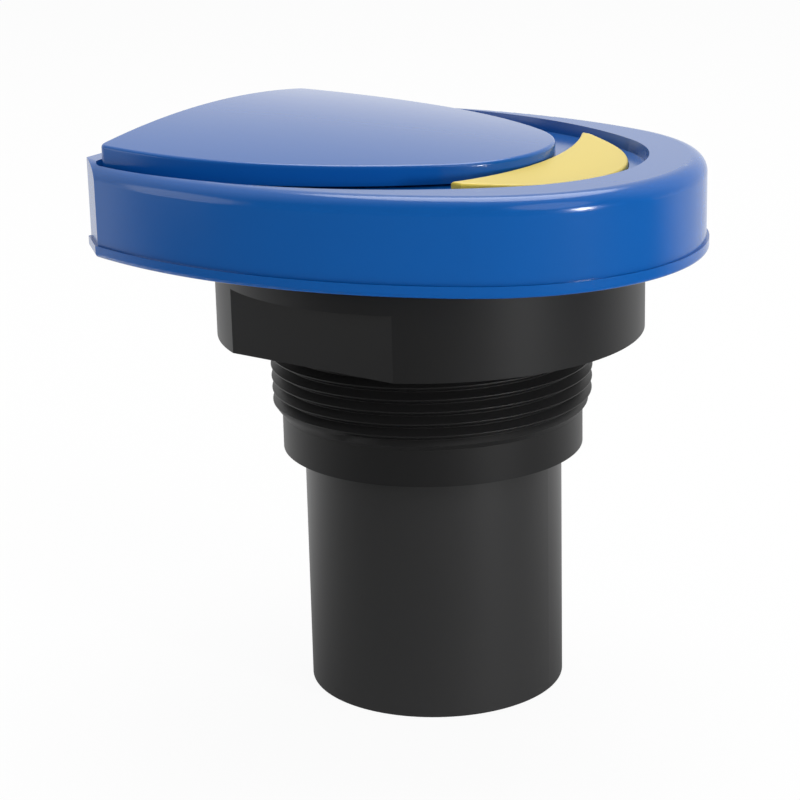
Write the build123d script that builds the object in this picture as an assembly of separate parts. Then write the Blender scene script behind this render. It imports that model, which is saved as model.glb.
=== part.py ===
# Ultrasonic level transmitter for a tank top: a black transducer on a tapered pipe thread,
# under a flat blue head whose hinged lid covers the display and four keys.
# Millimetres. The origin is the centre of the sensing face, +Z runs up the thread axis,
# +X points to the rounded nose of the head and the lid's hinge lies at the back, on -X.
from build123d import *
from math import cos, sin, radians, sqrt
import os

os.makedirs("parts", exist_ok=True)

# Clearances
slip = 0.05
seat_gap = 0.2
lid_gap = 0.4
key_gap = 0.2

# Transducer barrel and its stack
barrel_r = 24.3
barrel_wall = 3.3
barrel_bottom = 0.3
window_t = 2.8
layer_r = 19.0
layer_t = 3.0
piezo_r = 18.0
piezo_t = 4.0
damper_top_t = 10.0
lead_r = 1.5
plug_l = 8.0
plug_w = 6.0
plug_h = 2.8
potting_top_gap = 4.0

# Threaded fitting
shoulder_z = 46.8
shoulder_r = 28.3
thread_start_z = 54.0
thread_r = 30.15
collar_z = 69.4
collar_r = 39.85
flat_depth = 4.35
flat_h = 11.9
flat_turn = 7.0
collar_edge = 0.6
fitting_bore_r = 18.0
barrel_depth = 17.2
neck_r = 24.0
neck_h = 6.1
ring_r = 31.2
ring_section_r = 1.1

# Lock nut inside the head
nut_wall = 3.0
nut_t = 3.5
nut_edge = 0.6
nut_clear = 1.2

# Head outline, a nose arc that runs into two long side arcs, cut off by a straight back
lip_z = 85.5
lip_t = 2.2
lip_edge = 0.8
rib_w = 1.4
gasket_inset = 1.2
gasket_w = 1.2
gasket_t = 0.8
standoff_r = 2.5
standoff_inset = 4.0
nose_x = 12.6
nose_r = 39.8
nose_turn = 66.5
side_r = 100.0
back_x = -54.6
facet = 6.3

# Head housing
wall_inset = 0.5
wall_t = 2.6
rim_z = 102.4
shoulder_fillet = 3.0
rim_edge = 0.5
deck_drop = 2.2
deck_t = 2.8
recess_nose_x = 11.0
recess_nose_r = 30.4
recess_turn = 52.0
recess_side_r = 80.0
recess_back_x = -50.4
recess_taper = 15.0
recess_corner = 4.0

# Lid
lid_nose_x = 0.0
lid_nose_r = 23.4
lid_turn = 53.5
lid_side_r = 84.0
lid_back_x = -49.0
lid_corner = 2.0
lid_wall = 2.2
lid_edge = 0.6
crown_r = 260.0
crown_turn = 20.0
ridge_tip_z = 103.9
ridge_mid_z = 105.6
ridge_back_z = 108.0
rib_t = 1.2
rib_depth = 1.4
rib_spacing = 18.0

# Hinge
hinge_x = -51.9
hinge_z = 102.3
knuckle_r = 1.8
pin_r = 1.0
hinge_span = 48.0
knuckle_gap = 0.3
web_t = 1.7

# Yellow insert in front of the lid
insert_inset = 3.8
insert_rear_r = 70.0
insert_half = 25.5
insert_rear_rise = 2.1
insert_nose_rise = 0.8
insert_sink = 0.8
insert_edge = 0.5

# Control panel, keys and display under the lid
panel_inset = 4.5
panel_t = 1.0
panel_sink = 0.7
panel_front_x = 13.0
panel_back_x = -44.0
key_r = 4.0
key_pitch = 9.5
key_x = 1.0
key_rise = 0.9
key_edge = 0.5
key_flange_r = 4.6
key_flange_t = 0.8
key_travel = 0.8
view_x = -17.5
view_l = 18.0
view_w = 40.0
view_rim = 2.0
display_l = 24.0
display_w = 50.0

# Boards
board_t = 1.6
board_gap = 0.6
board_inset = 9.6
board_back_x = -28.0
switch_w = 6.0
switch_t = 1.5
post_r = 2.6
post_front = (27.0, 19.0)
post_back = (-22.0, 28.0)
board_screw_r = 1.1
board_screw_head_r = 2.1
coil_l = 8.0
coil_w = 12.0
coil_h = 3.8
cap_r = 3.0
cap_h = 3.9
cap_y = 11.5

# Wiring terminals
terminal_board_l = 13.5
terminal_board_w = 46.0
terminal_l = 9.0
terminal_pitch = 6.5
terminal_count = 6
terminal_h = 6.4
terminal_mouth_l = 6.0
terminal_mouth_w = 3.6
terminal_mouth_h = 2.8
terminal_mouth_rise = 2.2
terminal_screw_r = 1.7

# Housing screws
boss_r = 3.0
boss_rise = 1.0
screw_front = (36.8, 23.2)
screw_back = (-42.5, 30.0)
screw_r = 1.4
screw_head_r = 2.7
screw_head_t = 1.5
screw_seat_t = 1.4
screw_slot_w = 0.8
screw_slot_h = 0.8
screw_l = 7.0

# Cable entries in the back wall
port_y = 17.0
port_z = 95.0
port_r = 4.0
port_thread_h = 0.4
gland_flats = 11.6
gland_base_t = 2.2
gland_neck_l = 1.4
gland_nut_t = 4.6
gland_seal_t = 1.2
gland_seal_r = 3.2
plug_head_t = 3.0
plug_edge = 0.6
gland_end_r = 4.2
cable_r = 2.3
port_boss_r = 6.2
port_boss_l = 3.6

# Cutting allowances
beyond = 5.0
reach = 4 * nose_r

# Sizes and places that follow from the ones above
across_flats = 2 * (collar_r - flat_depth)
nut_flats = 2 * (neck_r + nut_wall)
nut_corner_r = nut_flats / 2 / cos(radians(30))
board_parts_x = nut_corner_r + nut_clear
terminal_board_x = -nut_corner_r - nut_clear - terminal_board_l / 2
seam_z = lip_z + lip_t
deck_z = rim_z - deck_drop
deck_under_z = deck_z - deck_t
panel_top_z = deck_z - panel_sink
panel_z = panel_top_z - panel_t
neck_top_z = lip_z + neck_h
board_z = neck_top_z + board_gap
board_top_z = board_z + board_t
barrel_top_z = shoulder_z + barrel_depth
barrel_bore_r = barrel_r - barrel_wall
lid_z = deck_z + lid_gap
insert_rear_x = lid_nose_x + lid_nose_r + lid_gap
boss_z = seam_z + boss_rise
wall_x = back_x + wall_inset


def disc(radius, low, high, x=0, y=0):
    """A round bar standing on the height low and ending at high."""
    return Pos(x, y, (low + high) / 2) * Cylinder(radius, high - low)


def block(length, width, low, high, x=0, y=0):
    """A rectangular block centred on x, y between two heights."""
    return Pos(x, y, (low + high) / 2) * Box(length, width, high - low)


def lying(radius, start, end, y=0, z=0):
    """A round bar that lies along X from start to end."""
    return Pos((start + end) / 2, y, z) * Rot(0, 90, 0) * Cylinder(radius, abs(end - start))


def lying_hex(flats, start, end, y=0, z=0):
    """A hexagon bar that lies along X from start to end."""
    face = Plane((start, y, z), x_dir=(0, 1, 0), z_dir=(1, 0, 0)) * RegularPolygon(flats / 2, 6, major_radius=False)
    return extrude(face, amount=end - start)


def across(radius, low, high, x, z):
    """A round bar that lies along Y from low to high."""
    return Pos(x, (low + high) / 2, z) * Rot(90, 0, 0) * Cylinder(radius, high - low)


def upright(face, low, high):
    """A flat face on the ground plane, raised into a prism between two heights."""
    return extrude(Pos(0, 0, low) * face, amount=high - low)


def nosed_outline(centre_x, radius, turn, long_r, end_x, cut=0.0):
    """A symmetric outline: nose arc, two tangent side arcs, optional corner facets, straight back."""
    unit_x = cos(radians(turn))
    unit_y = sin(radians(turn))
    arc_x = centre_x - (long_r - radius) * unit_x
    arc_y = -(long_r - radius) * unit_y

    def half_width(x):
        return arc_y + sqrt(long_r**2 - (x - arc_x) ** 2)

    join = (centre_x + radius * unit_x, radius * unit_y)
    corner_x = end_x + cut
    corner = (corner_x, half_width(corner_x))
    middle_x = (join[0] + corner_x) / 2
    tip = (centre_x + radius, 0)
    middle = (middle_x, half_width(middle_x))
    rear = (end_x, corner[1] - cut)
    edges = Curve() + ThreePointArc((join[0], -join[1]), tip, join)
    edges += ThreePointArc(join, middle, corner)
    edges += ThreePointArc((join[0], -join[1]), (middle[0], -middle[1]), (corner[0], -corner[1]))
    if cut:
        edges += Line(corner, rear)
        edges += Line((corner[0], -corner[1]), (rear[0], -rear[1]))
    edges += Line(rear, (rear[0], -rear[1]))
    return make_face(edges)


def shrunk(face, amount):
    """The same outline moved inwards by an even distance."""
    return offset(face, amount=-amount, kind=Kind.INTERSECTION)


def edges_at(part, height):
    """The edges that lie flat at one height."""
    return part.edges().filter_by_position(Axis.Z, height - 0.001, height + 0.001)


def mirrored_pair(point):
    return [(point[0], point[1]), (point[0], -point[1])]


screw_points = mirrored_pair(screw_front) + mirrored_pair(screw_back)
post_points = mirrored_pair(post_front) + mirrored_pair(post_back)
key_points = [(key_x, (place - 1.5) * key_pitch) for place in range(4)]
lip_face = nosed_outline(nose_x, nose_r, nose_turn, side_r, back_x, facet)
wall_face = shrunk(lip_face, wall_inset)
cavity_face = shrunk(lip_face, wall_inset + wall_t)
recess_face = nosed_outline(recess_nose_x, recess_nose_r, recess_turn, recess_side_r, recess_back_x)
recess_face = fillet(recess_face.vertices().sort_by(Axis.X)[:2], recess_corner)
lid_face = nosed_outline(lid_nose_x, lid_nose_r, lid_turn, lid_side_r, lid_back_x)


def make_process_fitting():
    profile = Polyline(
        (fitting_bore_r, barrel_top_z),
        (barrel_r + slip, barrel_top_z),
        (barrel_r + slip, shoulder_z),
        (shoulder_r, shoulder_z),
        (shoulder_r, thread_start_z),
        (thread_r, thread_start_z + thread_r - shoulder_r),
        (thread_r, collar_z),
        (collar_r, collar_z),
        (collar_r, lip_z),
        (neck_r, lip_z),
        (neck_r, neck_top_z),
        (fitting_bore_r, neck_top_z),
        close=True,
    )
    fitting = revolve(make_face(Plane.XZ * profile), Axis.Z)
    for side in (-1, 1):
        flat_y = side * (across_flats / 2 + flat_depth)
        flat = Pos(0, flat_y, collar_z + flat_h / 2) * Box(2 * collar_r, 2 * flat_depth, flat_h)
        fitting -= Rot(0, 0, -flat_turn) * flat
    rim = fitting.edges().filter_by(GeomType.CIRCLE).filter_by_position(Axis.Z, collar_z - 0.001, collar_z + 0.001)
    fitting = fillet(rim.filter_by(lambda edge: edge.radius > collar_r - 1), collar_edge)
    groove = Pos(0, 0, lip_z) * Cylinder(ring_r + ring_section_r, 3 * ring_section_r)
    groove -= Pos(0, 0, lip_z) * Cylinder(ring_r - ring_section_r, 3 * ring_section_r)
    return fitting - groove


def make_transducer_barrel():
    return disc(barrel_r, barrel_bottom, barrel_top_z) - disc(barrel_bore_r, 0, barrel_top_z)


def make_acoustic_window():
    return disc(barrel_bore_r - slip, 0, window_t)


def make_matching_layer():
    return disc(layer_r, window_t, window_t + layer_t)


def make_piezo_disc():
    return disc(piezo_r, window_t + layer_t, window_t + layer_t + piezo_t)


def make_damping_cup():
    layer_top = window_t + layer_t
    piezo_top = layer_top + piezo_t
    cup = disc(barrel_bore_r - slip, window_t, piezo_top + damper_top_t)
    cup -= disc(layer_r + slip, window_t, layer_top)
    cup -= disc(piezo_r + slip, layer_top, piezo_top)
    return cup - disc(lead_r + slip, piezo_top, piezo_top + damper_top_t)


def make_potting():
    low = window_t + layer_t + piezo_t + damper_top_t
    high = barrel_top_z - potting_top_gap
    return disc(barrel_bore_r - slip, low, high) - disc(lead_r + slip, low, high)


def make_transducer_lead():
    return disc(lead_r, window_t + layer_t + piezo_t, board_z - plug_h)


def make_lead_plug():
    return block(plug_l, plug_w, board_z - plug_h, board_z)


def make_seal_ring():
    ring = disc(ring_r + ring_section_r - slip, lip_z - 1.5 * ring_section_r, lip_z)
    return ring - disc(ring_r - ring_section_r + slip, lip_z - 1.5 * ring_section_r, lip_z)


def make_fitting_nut():
    nut = upright(RegularPolygon(nut_flats / 2, 6, major_radius=False), seam_z, seam_z + nut_t)
    nut = chamfer(edges_at(nut, seam_z + nut_t), nut_edge)
    return nut - disc(neck_r + slip, seam_z, seam_z + nut_t)


def make_base_plate():
    plate = upright(lip_face, lip_z, seam_z)
    plate = fillet(edges_at(plate, lip_z), lip_edge)
    rib_face = shrunk(lip_face, wall_inset + wall_t + seat_gap)
    rib = upright(rib_face - shrunk(rib_face, rib_w), seam_z, boss_z)
    for x, y in screw_points:
        rib -= disc(boss_r + seat_gap, seam_z, boss_z, x, y)
    plate += rib
    for x, y in screw_points:
        plate += disc(boss_r, seam_z, boss_z, x, y) & upright(rib_face, seam_z, boss_z)
    for side in (-1, 1):
        standoff_y = side * (terminal_board_w / 2 - standoff_inset)
        plate += disc(standoff_r, seam_z, boss_z, terminal_board_x, standoff_y)
    plate -= disc(neck_r + seat_gap, lip_z, seam_z)
    for x, y in screw_points:
        plate -= disc(screw_head_r + seat_gap, lip_z, boss_z - screw_seat_t, x, y)
        plate -= disc(screw_r + seat_gap, lip_z, boss_z, x, y)
    return plate - gasket_band(0)


def gasket_band(gap):
    outer = shrunk(lip_face, gasket_inset - gap)
    inner = shrunk(lip_face, gasket_inset + gasket_w + gap)
    return upright(outer - inner, seam_z - gasket_t, seam_z)


def make_housing_gasket():
    return gasket_band(-slip)


def make_head_housing():
    shell = upright(wall_face, seam_z, rim_z)
    shell = fillet(edges_at(shell, rim_z).filter_by(GeomType.CIRCLE), shoulder_fillet)
    recess = extrude(Pos(0, 0, rim_z) * recess_face, amount=-deck_drop, taper=recess_taper)
    shell -= recess
    shell -= upright(cavity_face, seam_z, deck_under_z)
    for x, y in screw_points:
        shell += disc(boss_r, boss_z, deck_under_z, x, y)
    for x, y in post_points:
        shell += disc(post_r, board_top_z, deck_under_z, x, y)
    shell -= upright(panel_outline(-seat_gap / 2), panel_z, rim_z)
    shell -= block(view_l - view_rim, view_w - view_rim, deck_under_z, panel_z, view_x)
    for x, y in key_points:
        shell -= disc(key_r + key_gap, deck_under_z, panel_z, x, y)
    shell -= upright(insert_outline(-seat_gap), deck_z - insert_sink, rim_z)
    for x, y in screw_points:
        shell -= disc(screw_r + slip, boss_z, boss_z + screw_l, x, y)
    for x, y in post_points:
        shell -= disc(board_screw_r + slip, board_top_z, deck_under_z, x, y)
    for side in (-1, 1):
        port_top = upright(cavity_face, seam_z, deck_under_z)
        shell += lying(port_boss_r, wall_x + wall_t, wall_x + wall_t + port_boss_l, side * port_y, port_z) & port_top
        shell -= lying(port_r + slip, back_x, wall_x + wall_t + port_boss_l, side * port_y, port_z)
    return add_hinge_knuckles(shell)


def hinge_stations():
    """Five equal knuckles along the pin: the odd ones belong to the lid."""
    width = hinge_span / 5
    return [(-hinge_span / 2 + place * width, -hinge_span / 2 + (place + 1) * width) for place in range(5)]


def add_hinge_knuckles(shell):
    for place, (low, high) in enumerate(hinge_stations()):
        middle = (low + high) / 2
        if place % 2:
            clear_r = knuckle_r + knuckle_gap
            shell -= across(clear_r, low - knuckle_gap, high + knuckle_gap, hinge_x, hinge_z)
            slot_l = lid_back_x - hinge_x
            slot = block(slot_l, high - low + 2 * knuckle_gap, deck_z, rim_z + 1, hinge_x + slot_l / 2, middle)
            shell -= slot
        else:
            shell += across(knuckle_r, low, high, hinge_x, hinge_z)
            shell += block(2 * knuckle_r, high - low, deck_z - 1, hinge_z, hinge_x, middle)
    return shell - across(pin_r + slip / 2, -hinge_span / 2, hinge_span / 2, hinge_x, hinge_z)


def make_hinge_pin():
    return across(pin_r, -hinge_span / 2, hinge_span / 2, hinge_x, hinge_z)


def crown_form(drop):
    """The solid under the lid's crowned top: one long arc swept about an axis far below."""
    axis_z = ridge_mid_z - crown_r
    start = (lid_back_x - beyond, ridge_back_z - drop)
    tip_x = lid_nose_x + lid_nose_r
    ridge = ThreePointArc(start, (0, ridge_mid_z - drop), (tip_x + 1, ridge_tip_z - drop))
    foot = axis_z + crown_r / 2
    sides = Polyline((tip_x + 1, ridge_tip_z - drop), (tip_x + 1, foot), (start[0], foot), start)
    section = make_face(Plane.XZ * (ridge + sides))
    axis = Axis((0, 0, axis_z), (1, 0, 0))
    return revolve(section.rotate(axis, -crown_turn), axis, revolution_arc=2 * crown_turn)


def make_lid():
    body = upright(lid_face, lid_z, ridge_back_z + beyond)
    corners = body.edges().filter_by(Axis.Z).sort_by(Axis.X)[:2]
    body = fillet(corners, lid_corner)
    body = body & crown_form(0)
    top_edges = body.faces().sort_by(Axis.Z)[-1].edges()
    body = fillet(top_edges, lid_edge)
    hollow_face = shrunk(lid_face, lid_wall)
    hollow = upright(hollow_face, lid_z, ridge_back_z + beyond) & crown_form(lid_wall)
    body -= hollow
    rib_x = (lid_back_x + lid_nose_x) / 2
    ribs = Part()
    for place in (-1, 0, 1):
        ribs += block(lid_nose_x - lid_back_x, rib_t, lid_z, ridge_back_z, rib_x, place * rib_spacing)
    ribs = ribs & hollow
    ribs -= crown_form(lid_wall + rib_depth)
    body += ribs
    for place, (low, high) in enumerate(hinge_stations()):
        if place % 2:
            width = high - low - 2 * knuckle_gap
            middle = (low + high) / 2
            body += across(knuckle_r, middle - width / 2, middle + width / 2, hinge_x, hinge_z)
            reach = lid_back_x + lid_wall / 2 - hinge_x
            body += block(reach, width, hinge_z - web_t / 2, hinge_z + web_t / 2, hinge_x + reach / 2, middle)
    return body - across(pin_r + slip, -hinge_span / 2, hinge_span / 2, hinge_x, hinge_z)


def insert_outline(gap):
    """The crescent between the lid's tip and the rim, drawn a little larger for its pocket."""
    nose = shrunk(recess_face, insert_inset + gap)
    rear = Pos(insert_rear_x - insert_rear_r, 0) * Circle(insert_rear_r + gap)
    span = Rectangle(reach, 2 * (insert_half - gap))
    return (nose - rear) & span


def make_insert():
    face = insert_outline(0)
    low = deck_z - insert_sink
    body = upright(face, low, rim_z + beyond)
    rear_x = insert_rear_x - beyond
    tip_x = recess_nose_x + recess_nose_r - insert_inset
    slope = (insert_nose_rise - insert_rear_rise) / (tip_x - insert_rear_x)
    high = deck_z + insert_rear_rise
    above = Polyline(
        (rear_x, high - beyond * slope),
        (tip_x + beyond, high + (tip_x + beyond - insert_rear_x) * slope),
        (tip_x + beyond, rim_z + 2 * beyond),
        (rear_x, rim_z + 2 * beyond),
        close=True,
    )
    cutter = extrude(Plane.XZ * make_face(above), amount=reach, both=True)
    body -= cutter
    top = body.faces().sort_by(Axis.Z)[-1]
    return fillet(top.edges(), insert_edge)


def panel_outline(gap):
    inner = shrunk(lid_face, panel_inset + gap)
    length = panel_front_x - panel_back_x - 2 * gap
    band = Pos((panel_front_x + panel_back_x) / 2, 0) * Rectangle(length, reach)
    return inner & band


def make_control_panel():
    panel = upright(panel_outline(0), panel_z, panel_top_z)
    panel -= block(view_l + seat_gap, view_w + seat_gap, panel_z, panel_top_z, view_x)
    for x, y in key_points:
        panel -= disc(key_r + key_gap, panel_z, panel_top_z, x, y)
    return panel


def make_display_window():
    return block(view_l, view_w, panel_z, panel_top_z, view_x)


def make_display_module():
    module = block(display_l, display_w, board_top_z, deck_under_z - 0.1, view_x)
    glass = block(view_l, view_w, deck_under_z - 0.9, deck_under_z - 0.1, view_x)
    return module + glass


def make_key(place):
    x, y = key_points[place]
    low = deck_under_z - key_flange_t - key_gap
    key = disc(key_r, low, panel_top_z + key_rise, x, y)
    key = fillet(edges_at(key, panel_top_z + key_rise), key_edge)
    return key + disc(key_flange_r, low, low + key_flange_t, x, y)


def make_key_switches():
    switches = Part()
    for x, y in key_points:
        switches += block(switch_w, switch_w, board_top_z, board_top_z + switch_t, x, y)
    return switches


def make_main_board():
    face = shrunk(lip_face, board_inset) & (Pos(board_back_x + reach / 2, 0) * Rectangle(reach, reach))
    board = upright(face, board_z, board_top_z)
    for x, y in post_points:
        board -= disc(board_screw_r + seat_gap, board_z, board_top_z, x, y)
    return board


def make_board_screws():
    screws = Part()
    for x, y in post_points:
        screws += disc(board_screw_head_r, board_z - 1.2, board_z, x, y)
        screws += disc(board_screw_r, board_z, board_top_z + 2.2, x, y)
    return screws


def make_drive_coil():
    x = board_parts_x + coil_l / 2
    coil = block(coil_l, coil_w, board_z - coil_h, board_z, x)
    return chamfer(coil.edges().filter_by(Axis.Z), 0.8)


def make_capacitors():
    cans = Part()
    x = board_parts_x + cap_r
    for side in (-1, 1):
        cans += disc(cap_r, board_z - cap_h, board_z, x, side * cap_y)
    return cans


def terminal_ys():
    return [(place - (terminal_count - 1) / 2) * terminal_pitch for place in range(terminal_count)]


def make_terminal_board():
    return block(terminal_board_l, terminal_board_w, boss_z, boss_z + board_t, terminal_board_x)


def make_terminal_block():
    low = boss_z + board_t
    high = low + terminal_h
    width = terminal_count * terminal_pitch
    body = block(terminal_l, width, low, high, terminal_board_x)
    for y in terminal_ys():
        body -= disc(terminal_screw_r + seat_gap, low + 2.5, high, terminal_board_x + 1.5, y)
        mouth = Box(terminal_mouth_l, terminal_mouth_w, terminal_mouth_h)
        body -= Pos(terminal_board_x - terminal_l / 2, y, low + terminal_mouth_rise) * mouth
    return body


def make_terminal_screws():
    low = boss_z + board_t + 2.5
    screws = Part()
    for y in terminal_ys():
        screw = disc(terminal_screw_r, low, low + 2.6, terminal_board_x + 1.5, y)
        screw -= block(2 * terminal_screw_r, 0.6, low + 1.8, low + 2.6, terminal_board_x + 1.5, y)
        screws += screw
    return screws


def make_housing_screws():
    screws = Part()
    head_top = boss_z - screw_seat_t
    for x, y in screw_points:
        head = disc(screw_head_r, head_top - screw_head_t, head_top, x, y)
        low = head_top - screw_head_t
        head -= block(2 * screw_head_r, screw_slot_w, low, low + screw_slot_h, x, y)
        head -= block(screw_slot_w, 2 * screw_head_r, low, low + screw_slot_h, x, y)
        screws += head + disc(screw_r, head_top, boss_z + screw_l - lid_gap, x, y)
    return screws


def make_gland_body():
    inner_end = wall_x + wall_t + port_boss_l
    y = -port_y
    body = lying_hex(gland_flats, wall_x - gland_base_t, wall_x, y, port_z)
    body += lying(port_r, wall_x, inner_end, y, port_z)
    body += lying(port_r - port_thread_h, wall_x - gland_base_t - gland_neck_l, wall_x - gland_base_t, y, port_z)
    return body - lying(cable_r, wall_x - gland_base_t - gland_neck_l, inner_end, y, port_z)


def make_gland_nut():
    start = wall_x - gland_base_t
    end = start - gland_nut_t
    y = -port_y
    nut = lying_hex(gland_flats, end, start, y, port_z)
    brow = start - gland_neck_l
    dome_profile = Polyline(
        (start, 0), (start, gland_flats), (brow, gland_flats / 2 + 1), (end, gland_end_r), (end, 0), close=True
    )
    dome = revolve(make_face(Plane.XZ * dome_profile), Axis.X)
    nut = nut & (Pos(0, y, port_z) * dome)
    nut -= lying(port_r - port_thread_h + slip, start - gland_neck_l, start, y, port_z)
    nut -= lying(gland_seal_r, start - gland_neck_l - gland_seal_t, start - gland_neck_l, y, port_z)
    return nut - lying(cable_r, end, start, y, port_z)


def make_gland_seal():
    start = wall_x - gland_base_t - gland_neck_l
    end = start - gland_seal_t
    return lying(gland_seal_r - slip, end, start, -port_y, port_z) - lying(cable_r, end, start, -port_y, port_z)


def make_blanking_plug():
    inner_end = wall_x + wall_t + port_boss_l
    plug = lying_hex(gland_flats, wall_x - plug_head_t, wall_x, port_y, port_z)
    plug = chamfer(plug.faces().sort_by(Axis.X)[0].edges(), plug_edge)
    return plug + lying(port_r, wall_x, inner_end, port_y, port_z)


makers = {
    "process_fitting": make_process_fitting,
    "transducer_barrel": make_transducer_barrel,
    "acoustic_window": make_acoustic_window,
    "matching_layer": make_matching_layer,
    "piezo_disc": make_piezo_disc,
    "damping_cup": make_damping_cup,
    "transducer_potting": make_potting,
    "transducer_lead": make_transducer_lead,
    "lead_plug": make_lead_plug,
    "fitting_seal_ring": make_seal_ring,
    "fitting_lock_nut": make_fitting_nut,
    "base_plate": make_base_plate,
    "housing_gasket": make_housing_gasket,
    "head_housing": make_head_housing,
    "housing_screws": make_housing_screws,
    "front_insert": make_insert,
    "control_panel": make_control_panel,
    "display_window": make_display_window,
    "display_module": make_display_module,
    "key_switches": make_key_switches,
    "main_board": make_main_board,
    "board_screws": make_board_screws,
    "drive_coil": make_drive_coil,
    "filter_capacitors": make_capacitors,
    "terminal_board": make_terminal_board,
    "terminal_block": make_terminal_block,
    "terminal_screws": make_terminal_screws,
    "gland_body": make_gland_body,
    "gland_nut": make_gland_nut,
    "gland_seal": make_gland_seal,
    "blanking_plug": make_blanking_plug,
    "hinge_pin": make_hinge_pin,
    "lid": make_lid,
}
for place, name in enumerate(("menu_key", "down_key", "up_key", "enter_key")):
    makers[name] = lambda place=place: make_key(place)

for node, make in makers.items():
    export_step(make(), f"parts/{node}.step")
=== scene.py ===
"""Looks of an ultrasonic level transmitter: blue head, black moulded body, cut pipe thread."""

from math import atan2, cos, pi, radians, sin

import bmesh
import bpy
from bpy.props import FloatProperty, FloatVectorProperty, IntProperty, PointerProperty
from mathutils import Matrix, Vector


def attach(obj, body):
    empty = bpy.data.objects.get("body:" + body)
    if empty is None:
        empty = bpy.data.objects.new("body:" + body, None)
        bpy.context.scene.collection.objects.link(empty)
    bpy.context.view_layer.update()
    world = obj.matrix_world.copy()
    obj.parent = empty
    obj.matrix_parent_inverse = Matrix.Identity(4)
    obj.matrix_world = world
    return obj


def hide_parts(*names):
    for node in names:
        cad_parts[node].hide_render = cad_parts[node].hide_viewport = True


bl_info = {
    "name": "Level Transmitter",
    "version": (1, 0, 0),
    "blender": (4, 5, 0),
    "location": "View3D > Sidebar > Transmitter",
    "description": "Finishes, pipe thread and studio for an ultrasonic level transmitter",
    "category": "Object",
}

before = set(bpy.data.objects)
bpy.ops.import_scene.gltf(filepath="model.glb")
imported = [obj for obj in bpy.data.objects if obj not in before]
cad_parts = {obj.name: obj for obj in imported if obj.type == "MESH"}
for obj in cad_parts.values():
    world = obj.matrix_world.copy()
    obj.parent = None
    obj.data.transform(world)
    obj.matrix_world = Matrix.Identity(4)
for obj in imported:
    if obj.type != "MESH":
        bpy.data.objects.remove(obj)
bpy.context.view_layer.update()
MM = 0.001
# Vertices closer than MERGE are one, and places closer than NEAR count as level
MERGE = 0.001 * MM
NEAR = 0.01 * MM

# Shader nodes used more than once
COORDS = "ShaderNodeTexCoord"
RANGE = "ShaderNodeMapRange"
MATH = "ShaderNodeMath"
MIX = "ShaderNodeMix"
MIX_SHADER = "ShaderNodeMixShader"
EMISSION = "ShaderNodeEmission"
LIGHT_PATH = "ShaderNodeLightPath"


class FittingSettings(bpy.types.PropertyGroup):
    """Sizes of the black fitting with its wrench collar and tapered pipe thread."""

    bore: FloatProperty(
        name="Bore",
        description="Radius of the hole through the neck",
        default=18.0 * MM,
        unit="LENGTH",
    )
    seat: FloatProperty(
        name="Seat",
        description="Radius of the hole for the barrel",
        default=24.35 * MM,
        unit="LENGTH",
    )
    seat_top: FloatProperty(
        name="Seat top", description="Height where that hole ends", default=64.0 * MM, unit="LENGTH"
    )
    shoulder: FloatProperty(
        name="Shoulder", description="Radius of the plain end", default=28.3 * MM, unit="LENGTH"
    )
    bottom: FloatProperty(
        name="Bottom", description="Height of the lower end", default=46.8 * MM, unit="LENGTH"
    )
    collar: FloatProperty(
        name="Collar", description="Radius of the wrench collar", default=39.85 * MM, unit="LENGTH"
    )
    collar_low: FloatProperty(
        name="Collar foot", description="Height of its underside", default=69.4 * MM, unit="LENGTH"
    )
    flat: FloatProperty(
        name="Flat",
        description="Distance of a wrench flat from the axis",
        default=35.5 * MM,
        unit="LENGTH",
    )
    flat_top: FloatProperty(
        name="Flat top", description="Height where a flat ends", default=81.3 * MM, unit="LENGTH"
    )
    flat_turn: FloatProperty(
        name="Flat turn",
        description="Direction that the near flat faces",
        default=radians(-97),
        subtype="ANGLE",
    )
    top: FloatProperty(
        name="Top",
        description="Height of the collar's upper face",
        default=85.5 * MM,
        unit="LENGTH",
    )
    neck: FloatProperty(
        name="Neck",
        description="Radius of the neck inside the head",
        default=24.0 * MM,
        unit="LENGTH",
    )
    neck_top: FloatProperty(
        name="Neck top", description="Height of the neck", default=91.6 * MM, unit="LENGTH"
    )
    edge: FloatProperty(
        name="Edge",
        description="Softening of the edges",
        default=0.35 * MM,
        unit="LENGTH",
        precision=5,
    )
    pitch: FloatProperty(
        name="Pitch", description="Rise of one turn", default=2.26 * MM, unit="LENGTH", precision=5
    )
    depth: FloatProperty(
        name="Depth", description="Height of a tooth", default=1.72 * MM, unit="LENGTH", precision=5
    )
    crest: FloatProperty(
        name="Crest",
        description="Radius over the teeth where they start",
        default=29.93 * MM,
        unit="LENGTH",
    )
    taper: FloatProperty(
        name="Taper", description="Growth in radius for each unit of height", default=1 / 32
    )
    crest_flat: FloatProperty(
        name="Crest flat", description="Width of a crest", default=0.2 * MM, unit="LENGTH"
    )
    root_flat: FloatProperty(
        name="Root flat", description="Width of a root", default=0.14 * MM, unit="LENGTH"
    )
    first_crest: FloatProperty(
        name="First crest",
        description="Height of the first crest where the groove starts",
        default=54.18 * MM,
        unit="LENGTH",
    )
    first_turn: FloatProperty(
        name="Groove start",
        description="Direction in which the groove starts",
        default=radians(-101),
        subtype="ANGLE",
    )
    lead_in: FloatProperty(
        name="Lead-in", description="Height where the cone starts", default=53.7 * MM, unit="LENGTH"
    )
    lead_in_slope: FloatProperty(
        name="Lead-in slope", description="Growth in radius up the cone", default=0.72
    )
    groove_blend: FloatProperty(
        name="Groove blend", description="Part of a turn in which it deepens", default=0.03
    )
    steps: IntProperty(name="Steps", description="Segments in one turn", default=144, min=24)


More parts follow.
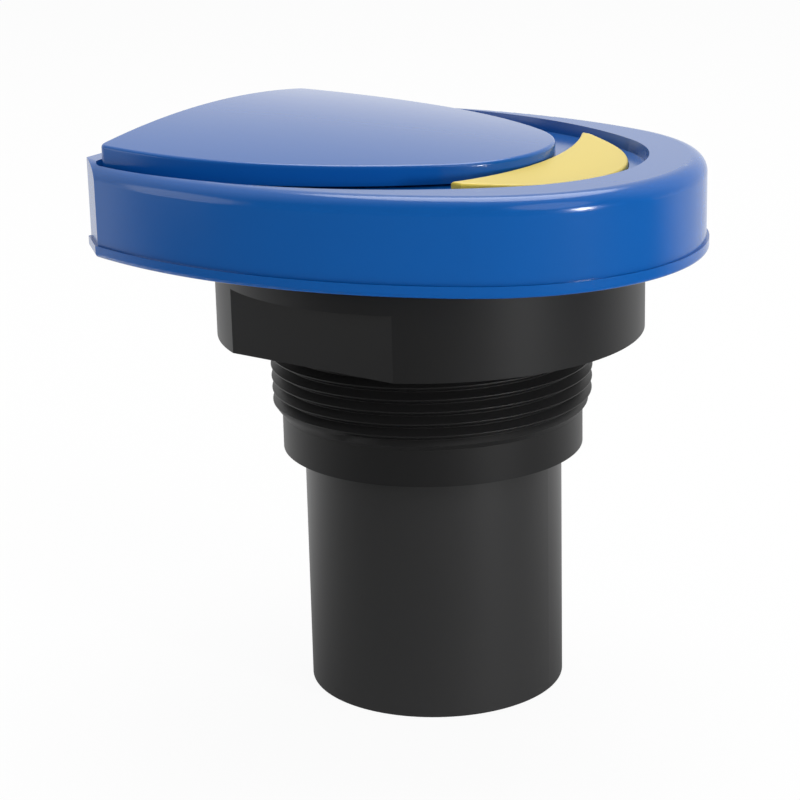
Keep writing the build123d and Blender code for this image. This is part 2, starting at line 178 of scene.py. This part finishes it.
class FinishSettings(bpy.types.PropertyGroup):
    """Colours of the finishes, as linear values."""

    blue: FloatVectorProperty(
        name="Blue",
        description="Satin paint of the head",
        default=(0.003, 0.092, 0.36),
        subtype="COLOR",
    )
    black: FloatVectorProperty(
        name="Black", description="Moulded body", default=(0.013, 0.013, 0.0133), subtype="COLOR"
    )
    # Lighter than the body's black: partly a different plastic, partly painted light from below on
    # the lower barrel
    barrel: FloatVectorProperty(
        name="Barrel",
        description="Transducer barrel",
        default=(0.027, 0.027, 0.0275),
        subtype="COLOR",
    )
    yellow: FloatVectorProperty(
        name="Yellow", description="Bare insert", default=(0.67, 0.515, 0.065), subtype="COLOR"
    )
    panel: FloatVectorProperty(
        name="Panel", description="Control panel", default=(0.10, 0.11, 0.13), subtype="COLOR"
    )
    keys: FloatVectorProperty(
        name="Keys", description="Rubber keys", default=(0.25, 0.26, 0.28), subtype="COLOR"
    )
    display: FloatVectorProperty(
        name="Display",
        description="Liquid crystal field",
        default=(0.33, 0.38, 0.29),
        subtype="COLOR",
    )
    window: FloatVectorProperty(
        name="Window", description="Clear plastic", default=(0.85, 0.88, 0.86), subtype="COLOR"
    )
    board: FloatVectorProperty(
        name="Board", description="Circuit boards", default=(0.02, 0.14, 0.06), subtype="COLOR"
    )
    terminals: FloatVectorProperty(
        name="Terminals",
        description="Wiring terminals",
        default=(0.06, 0.26, 0.12),
        subtype="COLOR",
    )
    ceramic: FloatVectorProperty(
        name="Ceramic", description="Piezo disc", default=(0.72, 0.69, 0.62), subtype="COLOR"
    )
    resin: FloatVectorProperty(
        name="Resin", description="Sensing face", default=(0.04, 0.04, 0.045), subtype="COLOR"
    )
    potting: FloatVectorProperty(
        name="Potting",
        description="Filling of the barrel",
        default=(0.06, 0.06, 0.07),
        subtype="COLOR",
    )
    rubber: FloatVectorProperty(
        name="Rubber", description="Seals and lead", default=(0.02, 0.02, 0.02), subtype="COLOR"
    )
    steel: FloatVectorProperty(
        name="Steel",
        description="Screws and hinge pin",
        default=(0.58, 0.58, 0.57),
        subtype="COLOR",
    )
    brass: FloatVectorProperty(
        name="Brass", description="Lock nut", default=(0.66, 0.50, 0.22), subtype="COLOR"
    )
    blue_roughness: FloatProperty(
        name="Blue roughness", description="Softness of the paint", default=0.17, min=0, max=1
    )
    black_roughness: FloatProperty(
        name="Black roughness", description="Softness of the body", default=0.45, min=0, max=1
    )
    barrel_roughness: FloatProperty(
        name="Barrel roughness", description="Softness of the barrel", default=0.38, min=0, max=1
    )


class StageSettings(bpy.types.PropertyGroup):
    """Camera, lamps and floor."""

    camera_place: FloatVectorProperty(
        name="Camera",
        description="Where the camera stands",
        default=(0.20833, -0.36634, 0.18136),
        unit="LENGTH",
    )
    camera_turn: FloatVectorProperty(
        name="Camera turn",
        description="Tilt, roll and pan",
        default=(radians(73.261), radians(1.325), radians(30.058)),
        subtype="EULER",
    )
    lens: FloatProperty(name="Lens", description="Focal length in millimetres", default=104.81)
    floor_half: FloatProperty(
        name="Floor", description="Half width of the floor", default=4.0, unit="LENGTH"
    )
    fill: FloatProperty(name="Fill", description="Strength of the even light", default=0.36, min=0)
    key: FloatProperty(name="Key", description="Watts of the lamp off the nose", default=1.9, min=0)
    upper: FloatProperty(
        name="Upper",
        description="Watts of the high front lamp",
        default=2.0,
        min=0,
    )
    top: FloatProperty(name="Top", description="Watts of the lamp overhead", default=7.8, min=0)
    left: FloatProperty(
        name="Left",
        description="Watts of the low lamp on the left",
        default=0.5,
        min=0,
    )
    front_gloss: FloatProperty(
        name="Front gloss", description="Brightness that gloss sees in front", default=0.06, min=0
    )


# Finishes


def wire(tree, source, output, target, socket):
    """Links one node's output to another's input."""
    tree.links.new(source.outputs[output], target.inputs[socket])


def open_group(name, inputs, outputs):
    """A new shader group with named sockets, and its two ends."""
    tree = bpy.data.node_groups.new(name, "ShaderNodeTree")
    for label, kind, value in inputs:
        socket = tree.interface.new_socket(name=label, in_out="INPUT", socket_type=kind)
        socket.default_value = value
    for label, kind in outputs:
        tree.interface.new_socket(name=label, in_out="OUTPUT", socket_type=kind)
    return tree, tree.nodes.new("NodeGroupInput"), tree.nodes.new("NodeGroupOutput")


def make_grain_group():
    """Fine moulded grain as a height, and slow patches as a mask."""
    inputs = [("Scale", "NodeSocketFloat", 900.0), ("Patch scale", "NodeSocketFloat", 18.0)]
    outputs = [("Height", "NodeSocketFloat"), ("Patches", "NodeSocketFloat")]
    tree, start, end = open_group("moulded_grain", inputs, outputs)
    coords = tree.nodes.new(COORDS)
    for label, output, detail in (("Scale", "Height", 3.0), ("Patch scale", "Patches", 2.0)):
        noise = tree.nodes.new("ShaderNodeTexNoise")
        noise.inputs["Detail"].default_value = detail
        wire(tree, coords, "Object", noise, "Vector")
        wire(tree, start, label, noise, "Scale")
        wire(tree, noise, "Fac", end, output)
    return tree


def make_shade_group():
    """A colour that drifts a little, darker and lighter, with a mask."""
    inputs = [
        ("Colour", "NodeSocketColor", (0.5, 0.5, 0.5, 1.0)),
        ("Mask", "NodeSocketFloat", 0.5),
        ("Drift", "NodeSocketFloat", 0.1),
    ]
    tree, start, end = open_group("colour_drift", inputs, [("Colour", "NodeSocketColor")])
    hue = tree.nodes.new("ShaderNodeHueSaturation")
    centred = tree.nodes.new(MATH)
    centred.operation = "SUBTRACT"
    centred.inputs[1].default_value = 0.5
    scaled = tree.nodes.new(MATH)
    scaled.operation = "MULTIPLY_ADD"
    scaled.inputs[2].default_value = 1.0
    wire(tree, start, "Mask", centred, 0)
    wire(tree, centred, "Value", scaled, 0)
    wire(tree, start, "Drift", scaled, 1)
    wire(tree, scaled, "Value", hue, "Value")
    wire(tree, start, "Colour", hue, "Color")
    wire(tree, hue, "Color", end, "Colour")
    return tree


# Shared groups that are built already
groups = {}


def placed_group(tree, name):
    """A shared group's node in this material."""
    makers = {"moulded_grain": make_grain_group, "colour_drift": make_shade_group}
    if name not in groups:
        groups[name] = makers[name]()
    node = tree.nodes.new("ShaderNodeGroup")
    node.node_tree = groups[name]
    return node


def make_finish(name, colour, roughness, **facts):
    """A material with fine grain and slowly drifting colour and gloss."""
    material = bpy.data.materials.new(name)
    material.use_nodes = True
    tree = material.node_tree
    shader = tree.nodes["Principled BSDF"]
    shader.inputs["Metallic"].default_value = facts.get("metallic", 0.0)
    shader.inputs["Specular IOR Level"].default_value = facts.get("specular", 0.5)
    grain = placed_group(tree, "moulded_grain")
    grain.inputs["Scale"].default_value = facts.get("grain_scale", 900.0)
    grain.inputs["Patch scale"].default_value = facts.get("patch_scale", 18.0)
    drift = placed_group(tree, "colour_drift")
    drift.inputs["Colour"].default_value = (*colour, 1.0)
    drift.inputs["Drift"].default_value = facts.get("drift", 0.12)
    wire(tree, grain, "Patches", drift, "Mask")
    wire(tree, drift, "Colour", shader, "Base Color")
    rough = tree.nodes.new(RANGE)
    spread = facts.get("spread", 0.05)
    rough.inputs["To Min"].default_value = roughness - spread
    rough.inputs["To Max"].default_value = roughness + spread
    wire(tree, grain, "Patches", rough, "Value")
    wire(tree, rough, "Result", shader, "Roughness")
    bump = tree.nodes.new("ShaderNodeBump")
    bump.inputs["Distance"].default_value = facts.get("grain_depth", 0.01 * MM)
    bump.inputs["Strength"].default_value = facts.get("grain_strength", 0.3)
    wire(tree, grain, "Height", bump, "Height")
    wire(tree, bump, "Normal", shader, "Normal")
    return material


def make_window_finish(name, colour):
    """Clear plastic over the display."""
    material = make_finish(name, colour, roughness=0.06, spread=0.02, grain_strength=0.02)
    shader = material.node_tree.nodes["Principled BSDF"]
    shader.inputs["Transmission Weight"].default_value = 0.9
    shader.inputs["IOR"].default_value = 1.49
    return material


def dress(nodes, material):
    """Gives CAD nodes one material."""
    for name in nodes:
        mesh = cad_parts[name].data
        mesh.materials.clear()
        mesh.materials.append(material)


def finished(name, mesh, material):
    """A new piece on the fixed body, in its place, with its material."""
    piece = bpy.data.objects.new(name, mesh)
    bpy.context.scene.collection.objects.link(piece)
    mesh.materials.clear()
    mesh.materials.append(material)
    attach(piece, "root")
    return piece


def lathe(bm, outline, steps):
    """Turns a closed outline of radius and height about the vertical axis."""
    verts = [bm.verts.new((radius, 0.0, height)) for radius, height in outline]
    edges = [bm.edges.new((verts[i - 1], verts[i])) for i in range(len(verts))]
    bmesh.ops.spin(
        bm,
        geom=verts + edges,
        cent=(0, 0, 0),
        axis=(0, 0, 1),
        angle=2 * pi,
        steps=steps,
        use_merge=True,
    )
    bmesh.ops.remove_doubles(bm, verts=bm.verts, dist=MERGE)
    bmesh.ops.recalc_face_normals(bm, faces=bm.faces)


def black_finish(settings):
    """The body's moulded plastic, made once and shared."""
    material = bpy.data.materials.get("black_body_finish")
    if material:
        return material
    return make_finish(
        "black_body_finish",
        settings.black,
        settings.black_roughness,
        grain_scale=1400.0,
        grain_depth=0.02 * MM,
        grain_strength=0.25,
        drift=0.25,
        specular=0.4,
    )


# Pieces


class TRANSMITTER_OT_head(bpy.types.Operator):
    """Satin blue paint on the housing, its lip and the lid."""

    bl_idname = "transmitter.head"
    bl_label = "Blue head"

    def execute(self, context):
        finishes = context.scene.transmitter_finishes
        paint = make_finish(
            "blue_head_finish",
            finishes.blue,
            finishes.blue_roughness,
            grain_scale=700.0,
            grain_depth=0.01 * MM,
            grain_strength=0.12,
            spread=0.012,
            drift=0.08,
            specular=0.42,
        )
        dress(("head_housing", "base_plate", "lid"), paint)
        return {"FINISHED"}


class TRANSMITTER_OT_insert(bpy.types.Operator):
    """The bare yellow crescent in front of the lid."""

    bl_idname = "transmitter.insert"
    bl_label = "Front insert"

    def execute(self, context):
        colour = context.scene.transmitter_finishes.yellow
        yellow = make_finish("yellow_insert_finish", colour, roughness=0.34, drift=0.05)
        dress(("front_insert",), yellow)
        return {"FINISHED"}


class TRANSMITTER_OT_body(bpy.types.Operator):
    """Black moulded barrel, its face, the cable entries and the small dark parts inside."""

    bl_idname = "transmitter.body"
    bl_label = "Black body"

    def execute(self, context):
        finishes = context.scene.transmitter_finishes
        dress(("gland_body", "gland_nut", "blanking_plug"), black_finish(finishes))
        # The barrel's lighter black is partly a different plastic and partly painted light from
        # below
        barrel = make_finish(
            "barrel_finish",
            finishes.barrel,
            finishes.barrel_roughness,
            grain_scale=1400.0,
            grain_depth=0.02 * MM,
            grain_strength=0.2,
            drift=0.2,
            specular=0.6,
        )
        dress(("transducer_barrel",), barrel)
        resin = make_finish(
            "window_resin_finish", finishes.resin, roughness=0.5, grain_strength=0.4
        )
        dress(("acoustic_window", "matching_layer"), resin)
        dress(("lead_plug", "key_switches", "drive_coil", "filter_capacitors"), resin)
        return {"FINISHED"}


class TRANSMITTER_OT_fitting(bpy.types.Operator):
    """The fitting with its wrench collar and helical pipe thread."""

    bl_idname = "transmitter.fitting"
    bl_label = "Threaded fitting"

    bevel_segments = 3
    softened_angle = radians(18)
    crease_angle = radians(35)

    def execute(self, context):
        sizes = context.scene.transmitter_fitting
        black = black_finish(context.scene.transmitter_finishes)
        self.place("threaded_fitting", self.make_core(sizes), black, sizes, True)
        self.place("pipe_thread", self.make_coil(sizes), black, sizes, False)
        return {"FINISHED"}

    def place(self, name, bm, finish, sizes, soft):
        """Puts a piece where the plain fitting was, with softened or crisp edges."""
        mesh = bpy.data.meshes.new(name)
        bm.to_mesh(mesh)
        bm.free()
        mesh.shade_smooth()
        piece = finished(name, mesh, finish)
        if soft:
            bevel = piece.modifiers.new("soft_edges", "BEVEL")
            bevel.width = sizes.edge
            bevel.segments = self.bevel_segments
            bevel.limit_method = "ANGLE"
            bevel.angle_limit = self.softened_angle
            bevel.harden_normals = True
        else:
            mesh.set_sharp_from_angle(angle=self.crease_angle)
        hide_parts("process_fitting")

    def root_radius(self, sizes, height):
        """Radius of the tapered root at a height."""
        return sizes.crest - sizes.depth + (height - sizes.first_crest) * sizes.taper

    def make_core(self, sizes):
        """A turned body with two wrench flats cut into its collar."""
        under_roots = 0.15 * MM
        start_radius = self.root_radius(sizes, sizes.first_crest) - under_roots
        end_radius = self.root_radius(sizes, sizes.collar_low) - under_roots
        outline = [
            (sizes.seat, sizes.bottom),
            (sizes.shoulder, sizes.bottom),
            (sizes.shoulder, sizes.first_crest),
            (start_radius, sizes.first_crest),
            (end_radius, sizes.collar_low),
            (sizes.collar, sizes.collar_low),
            (sizes.collar, sizes.flat_top),
            (sizes.collar, sizes.top),
            (sizes.neck, sizes.top),
            (sizes.neck, sizes.neck_top),
            (sizes.bore, sizes.neck_top),
            (sizes.bore, sizes.seat_top),
            (sizes.seat, sizes.seat_top),
        ]
        bm = bmesh.new()
        lathe(bm, outline, sizes.steps)
        for turn in (sizes.flat_turn, sizes.flat_turn + pi):
            self.cut_flat(bm, sizes, Vector((cos(turn), sin(turn), 0.0)))
        bmesh.ops.recalc_face_normals(bm, faces=bm.faces)
        return bm

    def cut_flat(self, bm, sizes, facing):
        """Takes one side off the collar under the flange and closes the flat and its ledge."""
        collar = [
            face
            for face in bm.faces
            if sizes.collar_low - NEAR < face.calc_center_median().z < sizes.flat_top
            and max(Vector(vert.co[:2]).length for vert in face.verts) > sizes.flat
            and face.calc_center_median().dot(facing) > 0
        ]
        parts = list({part for face in collar for part in (*face.verts, *face.edges, face)})
        bmesh.ops.bisect_plane(
            bm,
            geom=parts,
            dist=MERGE,
            plane_co=facing * sizes.flat,
            plane_no=facing,
            clear_outer=False,
        )
        cut = [
            face
            for face in bm.faces
            if sizes.collar_low - NEAR < face.calc_center_median().z < sizes.flat_top
            and face.calc_center_median().dot(facing) > sizes.flat + NEAR
        ]
        bmesh.ops.delete(bm, geom=cut, context="FACES")
        rim = [edge for edge in bm.edges if edge.is_boundary]
        ledge = sizes.flat_top - NEAR
        arc = [edge for edge in rim if min(vert.co.z for vert in edge.verts) > ledge]
        arc_verts = [vert for edge in arc for vert in edge.verts]
        ends = [vert for vert in arc_verts if sum(edge in arc for edge in vert.link_edges) == 1]
        sill = bm.edges.new(ends)
        bmesh.ops.contextual_create(bm, geom=arc + [sill])
        bmesh.ops.contextual_create(bm, geom=[edge for edge in rim if edge not in arc] + [sill])

    def make_coil(self, sizes):
        """One tooth swept up the helix and tapered, with a cone leading in.

        The groove starts a turn up, and below that start the tooth is filled.
        """
        bm = bmesh.new()
        just_under_half = 0.499
        buried = 0.4 * MM
        round_off = 0.05 * MM
        into_collar = 0.05 * MM
        half = just_under_half * sizes.pitch
        foot = sizes.crest - sizes.depth
        sunk = foot - buried
        half_crest = sizes.crest_flat / 2
        half_root = half - sizes.root_flat / 2
        side = [
            (sunk, half),
            (foot, half),
            (foot, half_root),
            (sizes.crest - 2 * round_off, half_crest + round_off),
            (sizes.crest - round_off / 2, half_crest),
        ]
        outline = [(radius, -offset) for radius, offset in side] + [(sizes.crest, 0.0)] + side[::-1]
        below = sizes.first_crest - sizes.pitch
        turn = sizes.first_turn
        verts = [
            bm.verts.new((radius * cos(turn), radius * sin(turn), below + offset))
            for radius, offset in outline
        ]
        edges = [bm.edges.new((verts[i - 1], verts[i])) for i in range(len(verts))]
        steps = round((sizes.collar_low - below) / sizes.pitch * sizes.steps)
        bmesh.ops.spin(
            bm,
            geom=verts + edges,
            cent=(0, 0, 0),
            axis=(0, 0, 1),
            dvec=(0, 0, sizes.pitch / sizes.steps),
            angle=2 * pi * steps / sizes.steps,
            steps=steps,
            use_merge=False,
        )
        bmesh.ops.holes_fill(bm, edges=[edge for edge in bm.edges if edge.is_boundary], sides=0)
        bmesh.ops.recalc_face_normals(bm, faces=bm.faces)
        for vert in bm.verts:
            radius = Vector(vert.co[:2]).length
            height = vert.co.z
            part_turn = ((atan2(vert.co.y, vert.co.x) - turn) / (2 * pi)) % 1.0
            climbed = (height - below) / sizes.pitch
            # The half of a tooth below its crest borders the groove one turn down
            travelled = part_turn + round(climbed - part_turn)
            along_groove = travelled if climbed > travelled else travelled - 1.0
            opened = min(1.0, max(0.0, (along_groove - 1.0) / sizes.groove_blend))
            root = self.root_radius(sizes, height)
            cone = sizes.shoulder + (height - sizes.lead_in) * sizes.lead_in_slope
            cut = root + radius - foot
            if radius > foot - NEAR:
                filled = min(root + sizes.depth, cone)
                cut = min(filled + (cut - filled) * opened, cone)
            vert.co.x *= cut / radius
            vert.co.y *= cut / radius
            vert.co.z = min(height, sizes.collar_low + into_collar)
        return bm


class TRANSMITTER_OT_panel(bpy.types.Operator):
    """The control panel, keys and display under the lid."""

    bl_idname = "transmitter.panel"
    bl_label = "Panel and display"

    def execute(self, context):
        finishes = context.scene.transmitter_finishes
        panel = make_finish("panel_finish", finishes.panel, roughness=0.45, grain_strength=0.4)
        dress(("control_panel",), panel)
        keys = make_finish("key_finish", finishes.keys, roughness=0.55, grain_strength=0.4)
        dress(("menu_key", "down_key", "up_key", "enter_key"), keys)
        dress(("display_window",), make_window_finish("display_window_finish", finishes.window))
        display = make_finish(
            "display_finish", finishes.display, roughness=0.3, drift=0.05, grain_strength=0.05
        )
        dress(("display_module",), display)
        return {"FINISHED"}


class TRANSMITTER_OT_inside(bpy.types.Operator):
    """Boards, terminals, transducer stack, seals and metal parts."""

    bl_idname = "transmitter.inside"
    bl_label = "Inner parts"

    def execute(self, context):
        finishes = context.scene.transmitter_finishes
        board = make_finish("board_finish", finishes.board, roughness=0.4, patch_scale=120.0)
        dress(("main_board", "terminal_board"), board)
        terminals = make_finish("terminal_finish", finishes.terminals, roughness=0.42)
        dress(("terminal_block",), terminals)
        ceramic = make_finish("ceramic_finish", finishes.ceramic, roughness=0.6, grain_scale=2500.0)
        dress(("piezo_disc",), ceramic)
        potting = make_finish("potting_finish", finishes.potting, roughness=0.3)
        dress(("transducer_potting",), potting)
        rubber = make_finish("rubber_finish", finishes.rubber, roughness=0.7, grain_strength=0.6)
        dress(("damping_cup", "transducer_lead"), rubber)
        dress(("fitting_seal_ring", "housing_gasket", "gland_seal"), rubber)
        steel = make_finish(
            "steel_finish", finishes.steel, roughness=0.28, metallic=1.0, grain_scale=2000.0
        )
        dress(("housing_screws", "board_screws", "terminal_screws", "hinge_pin"), steel)
        brass = make_finish(
            "brass_finish", finishes.brass, roughness=0.32, metallic=1.0, grain_scale=1500.0
        )
        dress(("fitting_lock_nut",), brass)
        return {"FINISHED"}


class TRANSMITTER_OT_stage(bpy.types.Operator):
    """Pale floor, soft lamps, even surroundings and the camera."""

    bl_idname = "transmitter.stage"
    bl_label = "Stage"

    # Name, setting with its watts, place, height of its aim on the axis, size
    lamps = (
        ("key_lamp", "key", (0.63, -0.16, 0.155), 0.095, 0.12),
        ("upper_lamp", "upper", (0.75, -0.35, 0.75), 0.075, 0.7),
        ("top_lamp", "top", (-0.1, 0.35, 1.0), 0.075, 0.8),
        ("left_lamp", "left", (-0.46, -0.39, 0.16), 0.075, 0.35),
    )
    bright_side = (-0.48, 0.76, 0.43)
    floor_reach = 0.15
    sky_reach = 0.6
    white_share = 0.94
    floor_colour = (0.85, 0.85, 0.85, 1.0)
    floor_roughness = 0.9
    sensor_width = 36.0

    def execute(self, context):
        stage = context.scene.transmitter_stage
        self.make_floor(stage)
        self.make_surroundings(context, stage)
        for name, watts, place, height, size in self.lamps:
            self.make_lamp(name, getattr(stage, watts), place, Vector((0.0, 0.0, height)), size)
        data = bpy.data.cameras.new("camera")
        data.lens = stage.lens
        data.sensor_width = self.sensor_width
        camera = bpy.data.objects.new("camera", data)
        camera.location = stage.camera_place
        camera.rotation_euler = stage.camera_turn
        context.scene.collection.objects.link(camera)
        context.scene.camera = camera
        context.scene.view_settings.view_transform = "Standard"
        return {"FINISHED"}

    def make_lamp(self, name, watts, place, target, size):
        """A soft round lamp turned to its target."""
        data = bpy.data.lights.new(name, "AREA")
        data.energy = watts
        data.shape = "DISK"
        data.size = size
        lamp = bpy.data.objects.new(name, data)
        lamp.location = place
        lamp.rotation_euler = (Vector(place) - target).to_track_quat("Z", "Y").to_euler()
        bpy.context.scene.collection.objects.link(lamp)

    def make_floor(self, stage):
        """Pale floor: nearly white to the camera with the shadow kept, and a slope to gloss."""
        bm = bmesh.new()
        bmesh.ops.create_grid(bm, x_segments=1, y_segments=1, size=stage.floor_half)
        mesh = bpy.data.meshes.new("floor")
        bm.to_mesh(mesh)
        bm.free()
        floor = bpy.data.objects.new("floor", mesh)
        bpy.context.scene.collection.objects.link(floor)
        material = bpy.data.materials.new("floor_finish")
        material.use_nodes = True
        tree = material.node_tree
        shader = tree.nodes["Principled BSDF"]
        shader.inputs["Base Color"].default_value = self.floor_colour
        shader.inputs["Roughness"].default_value = self.floor_roughness
        path = tree.nodes.new(LIGHT_PATH)
        white = tree.nodes.new(EMISSION)
        share = tree.nodes.new(MATH)
        share.operation = "MULTIPLY"
        share.inputs[1].default_value = self.white_share
        to_camera = tree.nodes.new(MIX_SHADER)
        wire(tree, path, "Is Camera Ray", share, 0)
        wire(tree, share, "Value", to_camera, "Fac")
        wire(tree, shader, "BSDF", to_camera, 1)
        wire(tree, white, "Emission", to_camera, 2)
        shown = self.add_gloss_slope(tree, stage, "Object", self.floor_reach)
        glow = tree.nodes.new(EMISSION)
        wire(tree, shown, "Result", glow, "Strength")
        to_gloss = tree.nodes.new(MIX_SHADER)
        wire(tree, path, "Is Glossy Ray", to_gloss, "Fac")
        wire(tree, to_camera, "Shader", to_gloss, 1)
        wire(tree, glow, "Emission", to_gloss, 2)
        wire(tree, to_gloss, "Shader", tree.nodes["Material Output"], "Surface")
        mesh.materials.append(material)

    def add_gloss_slope(self, tree, stage, coordinate, reach):
        """Brightness for gloss, from dim on the camera's side to white behind the transmitter."""
        coords = tree.nodes.new(COORDS)
        facing = tree.nodes.new("ShaderNodeVectorMath")
        facing.operation = "DOT_PRODUCT"
        facing.inputs[1].default_value = self.bright_side
        wire(tree, coords, coordinate, facing, 0)
        slope = tree.nodes.new(RANGE)
        slope.interpolation_type = "SMOOTHSTEP"
        slope.inputs["From Min"].default_value = -reach / 2
        slope.inputs["From Max"].default_value = reach
        slope.inputs["To Min"].default_value = stage.front_gloss
        wire(tree, facing, "Value", slope, "Value")
        return slope

    def make_surroundings(self, context, stage):
        """White to the camera, a bright back and dim front to gloss, an even fill for the rest."""
        world = bpy.data.worlds.new("studio")
        world.use_nodes = True
        context.scene.world = world
        tree = world.node_tree
        background = tree.nodes["Background"]
        background.inputs["Color"].default_value = (1.0, 1.0, 1.0, 1.0)
        gloss = self.add_gloss_slope(tree, stage, "Generated", self.sky_reach)
        path = tree.nodes.new(LIGHT_PATH)
        seen = tree.nodes.new(MIX)
        seen.inputs[2].default_value = stage.fill
        wire(tree, path, "Is Glossy Ray", seen, 0)
        wire(tree, gloss, "Result", seen, 3)
        direct = tree.nodes.new(MATH)
        direct.operation = "MAXIMUM"
        wire(tree, path, "Is Camera Ray", direct, 0)
        wire(tree, path, "Is Transmission Ray", direct, 1)
        final = tree.nodes.new(MIX)
        final.inputs[3].default_value = 1.0
        wire(tree, direct, "Value", final, 0)
        wire(tree, seen, 0, final, 2)
        wire(tree, final, 0, background, "Strength")


class TRANSMITTER_PT_panel(bpy.types.Panel):
    """Lists the pieces of the transmitter."""

    bl_idname = "TRANSMITTER_PT_panel"
    bl_label = "Level Transmitter"
    bl_space_type = "VIEW_3D"
    bl_region_type = "UI"
    bl_category = "Transmitter"

    def draw(self, context):
        for operator in operators:
            self.layout.operator(operator.bl_idname)
        for group in ("transmitter_fitting", "transmitter_finishes", "transmitter_stage"):
            box = self.layout.box()
            settings = getattr(context.scene, group)
            for name in settings.__annotations__:
                box.prop(settings, name)


operators = (
    TRANSMITTER_OT_head,
    TRANSMITTER_OT_insert,
    TRANSMITTER_OT_body,
    TRANSMITTER_OT_fitting,
    TRANSMITTER_OT_panel,
    TRANSMITTER_OT_inside,
    TRANSMITTER_OT_stage,
)
setting_groups = {
    "transmitter_fitting": FittingSettings,
    "transmitter_finishes": FinishSettings,
    "transmitter_stage": StageSettings,
}


def register():
    for group in setting_groups.values():
        bpy.utils.register_class(group)
    for operator in operators:
        bpy.utils.register_class(operator)
    bpy.utils.register_class(TRANSMITTER_PT_panel)
    for name, group in setting_groups.items():
        setattr(bpy.types.Scene, name, PointerProperty(type=group))


def unregister():
    for name in setting_groups:
        delattr(bpy.types.Scene, name)
    bpy.utils.unregister_class(TRANSMITTER_PT_panel)
    for operator in reversed(operators):
        bpy.utils.unregister_class(operator)
    for group in reversed(list(setting_groups.values())):
        bpy.utils.unregister_class(group)


def main():
    register()
    for operator in operators:
        category, call = operator.bl_idname.split(".")
        getattr(getattr(bpy.ops, category), call)()


if __name__ == "__main__":
    main()
